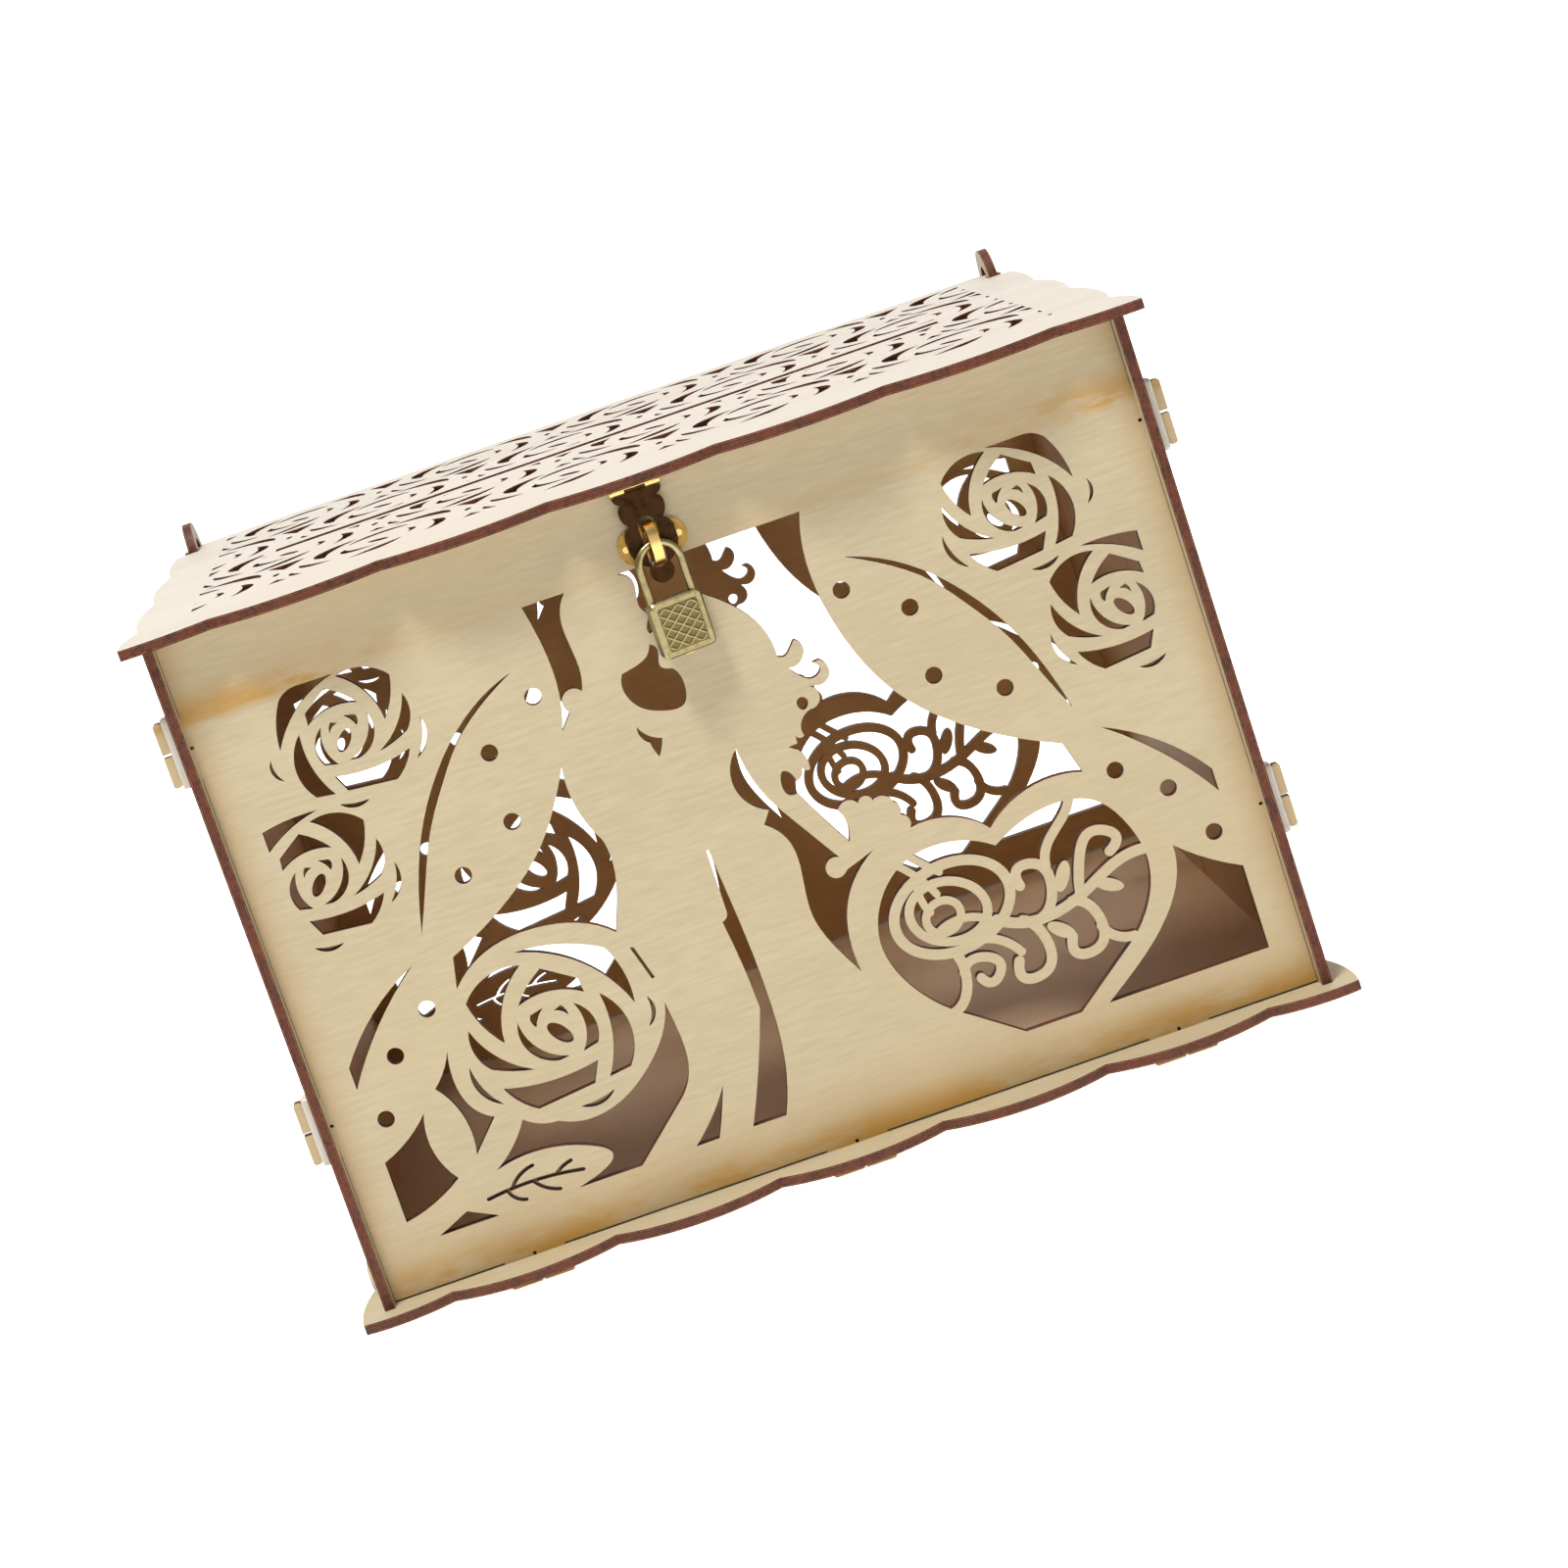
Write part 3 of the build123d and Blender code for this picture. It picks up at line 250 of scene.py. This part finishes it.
def hatched_plate(name, place, half_width, half_height, sink, facing, pitch, height, steps):
    """The padlock's hatched face, a height field over a flat plate.

    Two families of slanting ribs cross: each rib's height is the cosine of the distance across it, in rib pitches, raised to
    the fourteenth power, and the higher of the two families counts. A smooth step lowers the ribs to nothing at a plain margin.
    A skirt carries the plate's rim back into the case.
    """
    u = np.linspace(-1, 1, steps)
    x, z = np.meshgrid(u * half_width, u * half_height, indexing="ij")
    leans = (HATCH_SLOPE, -HATCH_SLOPE)
    ribs = [np.abs(np.cos(math.pi * (x * math.cos(lean) + z * math.sin(lean)) / pitch)) ** 14 for lean in leans]
    margin = np.minimum(half_width - np.abs(x), half_height - np.abs(z)) / HATCH_MARGIN
    fade = np.clip(margin, 0, 1)
    relief = np.maximum(*ribs) * height * fade * fade * (3 - 2 * fade)
    edge = (np.abs(x) >= half_width * 0.9999) | (np.abs(z) >= half_height * 0.9999)
    depth = np.where(edge, -0.00005, relief) - sink
    points = np.stack([x, facing * depth, z], axis=-1)
    flat = points.reshape(-1, 3) @ np.array(place.to_3x3()).T + np.array(place.translation)
    faces = grid_faces(steps, steps, False, False)
    if facing > 0:
        faces = faces[:, ::-1]
    plate = new_object(name, flat, faces)
    ridge = plate.data.attributes.new("ridge", "FLOAT", "POINT")
    ridge.data.foreach_set("value", np.clip(relief / height, 0, 1).ravel().astype(np.float32))
    return plate


# ---- materials -----------------------------------------------------------------


class Graph:
    """Short ways to add nodes to a material."""

    def __init__(self, name):
        self.material = bpy.data.materials.new(name)
        self.material.use_nodes = True
        self.tree = self.material.node_tree
        self.shader = self.tree.nodes["Principled BSDF"]
        self.places = self.tree.nodes.new("ShaderNodeTexCoord")

    def plug(self, socket, value):
        """Links an output to the socket, or sets its value."""
        if isinstance(value, bpy.types.NodeSocket):
            self.tree.links.new(value, socket)
        elif isinstance(value, tuple) and len(value) == 3 and len(getattr(socket, "default_value", ())) == 4:
            socket.default_value = (*value, 1.0)
        else:
            socket.default_value = value

    def math(self, operation, *values, clamp=False):
        node = self.tree.nodes.new("ShaderNodeMath")
        node.operation, node.use_clamp = operation, clamp
        for socket, value in zip(node.inputs, values):
            self.plug(socket, value)
        return node.outputs[0]

    def smooth(self, value, low, high):
        """0 below low, 1 above high, smooth between."""
        node = self.tree.nodes.new("ShaderNodeMapRange")
        node.interpolation_type = "SMOOTHSTEP"
        for socket, given in zip(node.inputs, (value, low, high, 0.0, 1.0)):
            self.plug(socket, given)
        return node.outputs[0]

    def mix(self, factor, first, second):
        node = self.tree.nodes.new("ShaderNodeMix")
        node.data_type = "RGBA"
        for socket, value in ((node.inputs[0], factor), (node.inputs[6], first), (node.inputs[7], second)):
            self.plug(socket, value)
        return node.outputs[2]

    def split(self, vector):
        node = self.tree.nodes.new("ShaderNodeSeparateXYZ")
        self.tree.links.new(vector, node.inputs[0])
        return node.outputs

    def noise(self, scale, stretch=(1, 1, 1), detail=3.0, roughness=0.55):
        """Noise with the given number of waves per metre, stretched along some axes."""
        mapping = self.tree.nodes.new("ShaderNodeMapping")
        mapping.inputs["Scale"].default_value = [scale * s for s in stretch]
        self.tree.links.new(self.places.outputs["Object"], mapping.inputs["Vector"])
        node = self.tree.nodes.new("ShaderNodeTexNoise")
        node.inputs["Scale"].default_value = 1.0
        node.inputs["Detail"].default_value = detail
        node.inputs["Roughness"].default_value = roughness
        self.tree.links.new(mapping.outputs[0], node.inputs["Vector"])
        return node.outputs[0]

    def bump(self, height, distance, strength=1.0):
        node = self.tree.nodes.new("ShaderNodeBump")
        node.inputs["Strength"].default_value = strength
        node.inputs["Distance"].default_value = distance
        self.tree.links.new(height, node.inputs["Height"])
        self.tree.links.new(node.outputs[0], self.shader.inputs["Normal"])


def plywood(name, axis, outward, wood, outer, inner_shade, grain, inside):
    """Plywood for one panel.

    Where the surface faces along the sheet's thickness it is veneer, with streaks and flecks along the grain; elsewhere
    it is
    a laser-burnt edge with veneer lines. Veneer that faces into the box, within the inside's limits, takes the inner
    shade colour:
    painted shade, a warm brown tone that stands in for the shade and bounce light inside the box.
    """
    g = Graph(name)
    x, y, z = g.split(g.places.outputs["Object"])
    position = (x, y, z)
    normal = g.split(g.places.outputs["Normal"])[axis]
    is_face = g.smooth(g.math("ABSOLUTE", normal), 0.55, 0.75)
    stretch = [1.0, 1.0, 1.0]
    stretch[grain] = 0.06
    streak = g.noise(1 / wood.streak_width / 4, stretch, 4.0, 0.6)
    fleck = g.noise(1 / wood.fleck_width / 2, [s if s == 1 else 0.12 for s in stretch], 2.0, 0.5)
    cloud = g.noise(9.0, (1, 1, 1), 2.0, 0.5)
    tone = g.math("ADD", g.math("MULTIPLY", streak, 0.5), g.math("MULTIPLY", fleck, 0.5))
    shade = g.smooth(tone, 0.3, 0.7)

    def veneer(base):
        dark = tuple(c * d for c, d in zip(base, (0.89, 0.87, 0.82)))
        light = tuple(min(1.0, c * d) for c, d in zip(base, (1.04, 1.04, 1.03)))
        tinted = g.mix(shade, dark, light)
        warm = tuple(c * d for c, d in zip(base, (0.98, 0.92, 0.80)))
        return g.mix(g.math("MULTIPLY", g.smooth(cloud, 0.45, 0.75), 0.45), tinted, warm)

    face = veneer(outer)
    if name == "Front plywood":
        face = scorched(g, face, x, z, wood)
    # which veneer faces inwards
    turned_in = g.smooth(g.math("MULTIPLY", normal, -float(outward)), 0.4, 0.6)
    for place, limit in zip(position, inside):
        if limit is not None:
            low, high = limit
            within = g.math("MULTIPLY", g.smooth(place, low - 0.0004, low), g.smooth(place, high + 0.0004, high))
            turned_in = g.math("MULTIPLY", turned_in, within)
    # painted shade: inward faces take the inner shade tone instead of the pale veneer, streaked along the grain with a
    # darker copy of it (half as bright on the side panels)
    deeper_inner_shade = tuple(c * (0.5 if axis == 0 else 0.88) for c in inner_shade)
    shaded_inner_veneer = g.mix(g.smooth(streak, 0.62, 0.5) if axis == 0 else shade, deeper_inner_shade, inner_shade)
    face = g.mix(turned_in, face, shaded_inner_veneer)

    # burnt edge: paler veneer lines beside a dark core, and sooty rims at the faces of the sheet
    low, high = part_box(NODE_OF[name])
    depth = g.math("DIVIDE", g.math("SUBTRACT", position[axis], float(low[axis])), float(high[axis] - low[axis]))
    from_middle = g.math("ABSOLUTE", g.math("SUBTRACT", depth, 0.5))
    rough = g.noise(900.0, (1, 1, 1), 3.0)
    line = g.smooth(g.math("ABSOLUTE", g.math("SUBTRACT", from_middle, 0.36)), 0.07, 0.03)
    core = g.smooth(g.math("ABSOLUTE", g.math("SUBTRACT", from_middle, 0.10)), 0.07, 0.02)
    veined = g.math("MULTIPLY", g.math("MAXIMUM", line, g.math("MULTIPLY", core, 0.55)), g.smooth(rough, 0.3, 0.6))
    soot = tuple(c * 0.45 for c in wood.burn_colour)
    burnt = g.mix(g.smooth(g.noise(160.0), 0.35, 0.65), soot, tuple(wood.burn_colour))
    burnt = g.mix(veined, burnt, tuple(wood.ply_colour))
    burnt = g.mix(g.smooth(from_middle, 0.42, 0.47), burnt, soot)
    g.plug(g.shader.inputs["Base Color"], g.mix(is_face, burnt, face))
    g.plug(g.shader.inputs["Roughness"], g.math("ADD", g.math("MULTIPLY", fleck, 0.16), 0.5))
    g.shader.inputs["Specular IOR Level"].default_value = 0.35
    g.bump(g.math("ADD", g.math("MULTIPLY", fleck, 0.7), g.math("MULTIPLY", streak, 0.3)), 0.00008, 0.5)
    return g.material


def scorched(g, face, x, z, wood):
    """Orange-brown heat stain: patches along the panel's lower edge and along the level of the picture's upper edge."""
    patch = g.noise(26.0, (1.0, 1.0, 2.4), 4.0, 0.65)
    fine = g.noise(120.0, (1.0, 1.0, 3.0), 3.0, 0.6)
    ragged = g.math("ADD", g.math("MULTIPLY", patch, 0.75), g.math("MULTIPLY", fine, 0.25))
    foot = g.math("MULTIPLY", g.smooth(z, BASE_TOP + 0.013, BASE_TOP + 0.001), g.smooth(ragged, 0.36, 0.6))
    wide = g.math("MULTIPLY", g.smooth(z, BASE_TOP + 0.03, BASE_TOP + 0.002), 0.5)
    level = g.math("SUBTRACT", z, WINDOW_TOP + 0.001)
    corners = g.math("ADD", g.math("MULTIPLY", g.smooth(g.math("ABSOLUTE", x), 0.07, 0.1), 0.85), 0.15)
    near = g.math("MULTIPLY", g.smooth(level, -0.0035, 0.0), g.smooth(level, 0.010, 0.0))
    top = g.math("MULTIPLY", g.math("MULTIPLY", near, g.smooth(ragged, 0.4, 0.56)), corners)
    veil = g.math("MULTIPLY", g.smooth(level, -0.004, 0.001), g.smooth(level, 0.02, 0.0))
    haze = g.math("MULTIPLY", veil, g.math("MULTIPLY", corners, 0.4))
    side = g.math("MULTIPLY", g.smooth(g.math("ABSOLUTE", x), INSIDE_X - 0.010, INSIDE_X), 0.5)
    pale = tuple(0.55 * a + 0.45 * b for a, b in zip(wood.scorch_colour, wood.panel_colour))
    glow = g.math("MAXIMUM", g.math("MAXIMUM", wide, haze), side)
    face = g.mix(glow, face, pale)
    strong = g.math("MAXIMUM", g.math("MULTIPLY", foot, 0.85), g.math("MULTIPLY", top, 0.8), clamp=True)
    return g.mix(strong, face, tuple(wood.scorch_colour))


def metal(name, base, roughness, tarnish, grime):
    """Metal with darker grime in its cloudy patches and fine wear in its roughness."""
    g = Graph(name)
    cloud = g.noise(420.0, (1, 1, 1), 4.0, 0.6)
    fine = g.noise(2600.0, (1, 1, 1), 3.0, 0.6)
    dirty = g.math("MULTIPLY", g.smooth(cloud, 0.45, 0.75), grime)
    g.plug(g.shader.inputs["Base Color"], g.mix(dirty, tuple(base), tuple(tarnish)))
    g.shader.inputs["Metallic"].default_value = 1.0
    g.plug(g.shader.inputs["Roughness"], g.math("ADD", g.math("MULTIPLY", fine, 0.22), roughness))
    g.bump(fine, 0.00003, 0.35)
    return g.material


def hatched_metal(name, base, groove):
    """The padlock's face: bright worn ribs, with dark grime left in the grooves between them."""
    g = Graph(name)
    ridge = g.tree.nodes.new("ShaderNodeAttribute")
    ridge.attribute_name = "ridge"
    cloud = g.noise(500.0, (1, 1, 1), 3.0)
    rubbed = g.math("ADD", g.math("MULTIPLY", cloud, 0.6), 0.6)
    worn = g.math("MULTIPLY", g.smooth(ridge.outputs["Fac"], 0.35, 0.85), rubbed, clamp=True)
    g.plug(g.shader.inputs["Base Color"], g.mix(worn, tuple(groove), tuple(base)))
    g.shader.inputs["Metallic"].default_value = 1.0
    g.plug(g.shader.inputs["Roughness"], g.math("SUBTRACT", 0.42, g.math("MULTIPLY", worn, 0.2)))
    g.bump(g.noise(2600.0), 0.00003, 0.3)
    return g.material


def rubber(name, base):
    """Milky silicone: pale, a little see-through to light, with a faint mottling."""
    g = Graph(name)
    cloud = g.noise(300.0, (1, 1, 1), 3.0)
    warm = tuple(c * d for c, d in zip(base, (0.97, 0.94, 0.86)))
    g.plug(g.shader.inputs["Base Color"], g.mix(g.smooth(cloud, 0.35, 0.7), tuple(base), warm))
    g.plug(g.shader.inputs["Roughness"], g.math("ADD", g.math("MULTIPLY", cloud, 0.2), 0.28))
    g.shader.inputs["Subsurface Weight"].default_value = 0.35
    g.shader.inputs["Subsurface Radius"].default_value = (0.0012, 0.001, 0.0008)
    g.bump(g.noise(1500.0), 0.00004, 0.3)
    return g.material


def dress(obj, material):
    """Puts one material on an object."""
    obj.data.materials.clear()
    obj.data.materials.append(material)


PANELS = {
    # title: (node, thickness axis, outward sign, grain axis)
    "Front plywood": ("front_panel", 1, -1, 0),
    "Back plywood": ("back_panel", 1, 1, 0),
    "Left plywood": ("left_side_panel", 0, -1, 2),
    "Right plywood": ("right_side_panel", 0, 1, 2),
    "Base plywood": ("base_panel", 2, -1, 0),
    "Lid plywood": ("lid_panel", 2, 1, 0),
}
NODE_OF = {title: facts[0] for title, facts in PANELS.items()}


# ---- operators --------------------------------------------------------------------


class CARDBOX_OT_panels(bpy.types.Operator):
    """Gives every plywood panel its veneer, scorching and burnt edges, and a painted shade tone on its faces inside the
    box
    """

    bl_idname = "cardbox.panels"
    bl_label = "Plywood Panels"

    def execute(self, context):
        wood = context.scene.cardbox_wood
        side_inside = (None, (-INSIDE_Y, INSIDE_Y), (BASE_TOP, WALL_TOP))
        base_inside = ((-INSIDE_X, INSIDE_X), (-INSIDE_Y, INSIDE_Y), None)
        everywhere = (None, None, None)
        limits = {"left_side_panel": side_inside, "right_side_panel": side_inside, "base_panel": base_inside}
        # painted shade: the inside floor and the lid's underside take their own shade tones, and every other inward
        # face takes the inside shade colour
        inner_shade_colours = {"base_panel": wood.floor_colour, "lid_panel": wood.under_lid_shade_colour}
        for title, (node, axis, outward, grain) in PANELS.items():
            outer = tuple(wood.lid_colour if node == "lid_panel" else wood.panel_colour)
            inner_shade = tuple(inner_shade_colours.get(node, wood.inside_shade_colour))
            inside = limits.get(node, everywhere)
            dress(NODES[node], plywood(title, axis, outward, wood, outer, inner_shade, grain, inside))
        return {"FINISHED"}


class CARDBOX_OT_bands(bpy.types.Operator):
    """Stretches a soft rubber loop round each split tab"""

    bl_idname = "cardbox.bands"
    bl_label = "Rubber Bands"

    def execute(self, context):
        bands = context.scene.cardbox_bands
        material = rubber("Milky rubber", tuple(bands.band_colour))
        for node in BAND_NODES:
            points, faces = band_surface(node, bands.wall, bands.flatness, bands.corner_steps, bands.section_steps)
            loop = new_object(node.replace("band_", "loop_"), points, faces)
            dress(loop, material)
            dress(NODES[node], material)
            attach(loop, "box")
            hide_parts(node)
        return {"FINISHED"}


class CARDBOX_OT_fittings(bpy.types.Operator):
    """Finishes the hasp, staple, nails and padlock metal"""

    bl_idname = "cardbox.fittings"
    bl_label = "Metal Fittings"

    def execute(self, context):
        colours = context.scene.cardbox_metal
        gilt = metal("Gilt", colours.gilt_colour, 0.16, srgb(150, 104, 44), 0.4)
        bronze = metal("Bronze", colours.bronze_colour, 0.3, srgb(40, 26, 18), 0.8)
        aged = metal("Aged brass", colours.plate_colour, 0.24, srgb(70, 46, 24), 0.7)
        antique = metal("Antique silver", colours.lock_colour, 0.2, srgb(104, 86, 50), 0.5)
        steel = metal("Steel", colours.steel_colour, 0.3, srgb(90, 90, 92), 0.3)
        for nodes, material in ((GILT_NODES, gilt), (BRONZE_NODES, bronze), (LOCK_NODES, antique), (STEEL_NODES, steel)):
            for node in nodes:
                dress(NODES[node], material)
        dress(NODES["staple_plate"], aged)
        dress(NODES["padlock_rivets"], antique)
        dress(NODES["key_plug"], gilt)
        return {"FINISHED"}


class CARDBOX_OT_hatching(bpy.types.Operator):
    """Lays a cross-hatched plate in the sunk panel on each face of the padlock"""

    bl_idname = "cardbox.hatching"
    bl_label = "Padlock Hatching"

    def execute(self, context):
        metal_settings = context.scene.cardbox_metal
        front, back = (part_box(node) for node in ("padlock_front_shell", "padlock_back_shell"))
        low, high = np.minimum(front[0], back[0]), np.maximum(front[1], back[1])
        middle = Vector((low + high) / 2)
        place = Matrix.Translation(middle) @ Matrix.Rotation(LOCK_TURN, 4, "Z")
        material = hatched_metal("Hatched silver", metal_settings.lock_colour, metal_settings.groove_colour)
        for title, facing in (("padlock_hatch_front", -1), ("padlock_hatch_back", 1)):
            plate = hatched_plate(
                title,
                place @ Matrix.Translation((0, facing * LOCK_HALF_THICK, 0)),
                LOCK_HALF_WIDTH - LOCK_BORDER,
                (high[2] - low[2]) / 2 - LOCK_BORDER,
                LOCK_SINK - 0.00002,
                facing,
                metal_settings.hatch_pitch,
                metal_settings.hatch_height,
                metal_settings.hatch_steps,
            )
            dress(plate, material)
            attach(plate, "case")
        return {"FINISHED"}


class CARDBOX_OT_stage(bpy.types.Operator):
    """Adds the pale sweep, soft studio lights and the camera"""

    bl_idname = "cardbox.stage"
    bl_label = "Stage"

    def execute(self, context):
        stage = context.scene.cardbox_stage
        # The sweep's profile is a floor, a quarter circle and a wall, carried along X.
        radius, depth, half_width, wall = 1.2, 2.2, 6.0, 5.0
        turn = np.linspace(0, math.pi / 2, 24)
        y = np.concatenate([[-4.0], depth + radius * np.sin(turn), [depth + radius]])
        z = np.concatenate([[0.0], radius * (1 - np.cos(turn)), [wall]])
        x = np.linspace(-half_width, half_width, 2)
        points = np.stack([np.repeat(x, len(y)), np.tile(y, 2), np.tile(z, 2)], axis=-1)
        sweep = new_object("sweep", points, grid_faces(2, len(y), False, False))
        g = Graph("Sweep")
        tone = g.smooth(g.noise(3.0), 0.2, 0.8)
        base = tuple(stage.floor_colour)
        g.plug(g.shader.inputs["Base Color"], g.mix(tone, tuple(c * 0.985 for c in base), base))
        g.shader.inputs["Roughness"].default_value = 0.9
        g.shader.inputs["Specular IOR Level"].default_value = 0.1
        g.shader.inputs["Emission Color"].default_value = (1, 1, 1, 1)
        g.shader.inputs["Emission Strength"].default_value = stage.floor_glow
        dress(sweep, g.material)

        world = bpy.data.worlds.new("Studio")
        world.use_nodes = True
        background = world.node_tree.nodes["Background"]
        background.inputs["Color"].default_value = (1, 1, 1, 1)
        # the room is seen as plain white, brighter than it lights the box
        path = world.node_tree.nodes.new("ShaderNodeLightPath")
        seen = world.node_tree.nodes.new("ShaderNodeMath")
        seen.operation = "MAXIMUM"
        seen.inputs[1].default_value = stage.world_strength
        world.node_tree.links.new(path.outputs["Is Camera Ray"], seen.inputs[0])
        world.node_tree.links.new(seen.outputs["Value"], background.inputs["Strength"])
        context.scene.world = world
        context.scene.view_settings.view_transform = "Standard"
        lights = (
            # name, place, size, share of the key power, aim
            ("key", (-0.3, -0.7, 2.0), 0.45, 1.0, (0, 0, 0.1)),
            ("fill", (0.6, -2.4, 0.7), 1.4, 0.06, (0, 0, 0.1)),
            ("top", (0.2, 0.3, 1.9), 1.2, 0.05, (0, 0, 0.1)),
        )
        for name, place, size, share, aim in lights:
            data = bpy.data.lights.new(name, "AREA")
            data.shape, data.size = "DISK", size
            data.energy = stage.key_power * share
            lamp = bpy.data.objects.new(name, data)
            lamp.location = place
            lamp.rotation_euler = (Vector(aim) - Vector(place)).to_track_quat("-Z", "Y").to_euler()
            context.scene.collection.objects.link(lamp)

        data = bpy.data.cameras.new("camera")
        data.sensor_width, data.lens = 36.0, stage.lens
        data.shift_x, data.shift_y = stage.shift
        data.clip_start, data.clip_end = 0.01, 50
        camera = bpy.data.objects.new("camera", data)
        turned = Matrix.Rotation(-stage.heading, 4, "Z") @ Matrix.Rotation(math.pi / 2 - stage.pitch, 4, "X")
        camera.matrix_world = Matrix.Translation(stage.camera_place) @ turned @ Matrix.Rotation(-stage.roll, 4, "Z")
        context.scene.collection.objects.link(camera)
        context.scene.camera = camera
        return {"FINISHED"}


class CARDBOX_PT_panel(bpy.types.Panel):
    """Lists the box's pieces"""

    bl_label = "Card Box"
    bl_idname = "CARDBOX_PT_panel"
    bl_space_type = "VIEW_3D"
    bl_region_type = "UI"
    bl_category = "Card Box"

    def draw(self, context):
        for operator in OPERATORS:
            self.layout.operator(operator.bl_idname)


GROUPS = {
    "cardbox_wood": CARDBOX_PG_wood,
    "cardbox_bands": CARDBOX_PG_bands,
    "cardbox_metal": CARDBOX_PG_metal,
    "cardbox_stage": CARDBOX_PG_stage,
}
OPERATORS = (CARDBOX_OT_panels, CARDBOX_OT_bands, CARDBOX_OT_fittings, CARDBOX_OT_hatching, CARDBOX_OT_stage)


def register():
    """Registers the classes and puts the settings on the scene."""
    for cls in (*GROUPS.values(), *OPERATORS, CARDBOX_PT_panel):
        bpy.utils.register_class(cls)
    for name, cls in GROUPS.items():
        setattr(bpy.types.Scene, name, PointerProperty(type=cls))


def unregister():
    """Takes the settings and the classes away again."""
    for name in GROUPS:
        delattr(bpy.types.Scene, name)
    for cls in reversed((*GROUPS.values(), *OPERATORS, CARDBOX_PT_panel)):
        bpy.utils.unregister_class(cls)


def main():
    """Registers the add-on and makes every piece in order."""
    register()
    bpy.ops.cardbox.panels()
    bpy.ops.cardbox.bands()
    bpy.ops.cardbox.fittings()
    bpy.ops.cardbox.hatching()
    bpy.ops.cardbox.stage()


if __name__ == "__main__":
    main()
